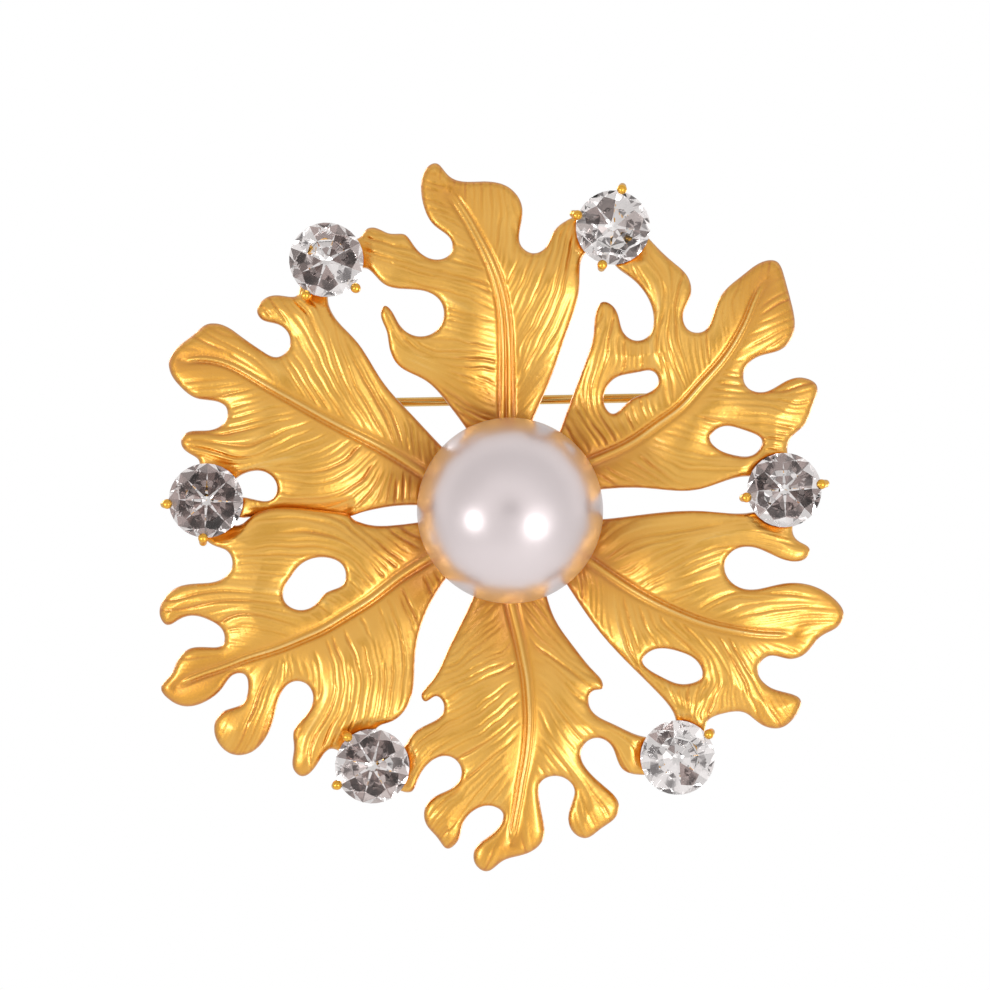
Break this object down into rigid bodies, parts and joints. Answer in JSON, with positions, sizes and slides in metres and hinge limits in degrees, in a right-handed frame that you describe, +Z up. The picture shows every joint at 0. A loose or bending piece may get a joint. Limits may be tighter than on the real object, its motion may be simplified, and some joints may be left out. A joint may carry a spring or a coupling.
{
  "type": "brooch",
  "caption": "Flower-like brooch: a large button pearl ringed by lobed gold-plated leaves with small clear stones between them, and a hinged pin with a turning safety catch behind.",
  "frame": {"origin": "on the pearl's axis, on the back face of the hub plate", "axes": "+Y out of the back, towards the wearer; +Z up as worn; +X to the right seen from the front"},
  "size_m": [0.0554, 0.0173, 0.0573],
  "materials": {
    "leaf_gold": "satin gold plate over cast veins",
    "setting_gold": "bright gold plate",
    "finding_gold": "polished gold plate",
    "pin_wire": "drawn wire, gold plated",
    "pearl": "pearl essence, soft lustre",
    "crystal": "cut and foiled"
  },
  "bodies": {
    "brooch_front": {"leaf_top": "leaf_gold", "leaf_upper_right": "leaf_gold", "leaf_lower_right": "leaf_gold", "leaf_bottom": "leaf_gold", "leaf_lower_left": "leaf_gold", "leaf_upper_left": "leaf_gold", "hub_plate": "finding_gold", "pearl_cup": "finding_gold", "pearl": "pearl", "cup_top_left": "setting_gold", "cup_top_right": "setting_gold", "cup_right": "setting_gold", "cup_bottom_right": "setting_gold", "cup_bottom_left": "setting_gold", "cup_left": "setting_gold", "stone_top_left": "crystal", "stone_top_right": "crystal", "stone_right": "crystal", "stone_bottom_right": "crystal", "stone_bottom_left": "crystal", "stone_left": "crystal", "hinge_bracket": "finding_gold", "hinge_rivet": "finding_gold", "catch_housing": "finding_gold"},
    "pin": {"pin_stem": "pin_wire"},
    "catch": {"catch_barrel": "finding_gold"}
  },
  "joints": [
    {"name": "pin_hinge", "type": "hinge", "parent": "brooch_front", "child": "pin", "pos_m": [-0.0138, 0.0016, 0.00871], "axis": [-0.0175, 0, 0.9998], "range_deg": [0, 100]},
    {"name": "catch_turn", "type": "hinge", "parent": "brooch_front", "child": "catch", "pos_m": [0.0156, 0.0016, 0.00922], "axis": [0.9998, 0, 0.0175], "range_deg": [0, 100]}
  ]
}
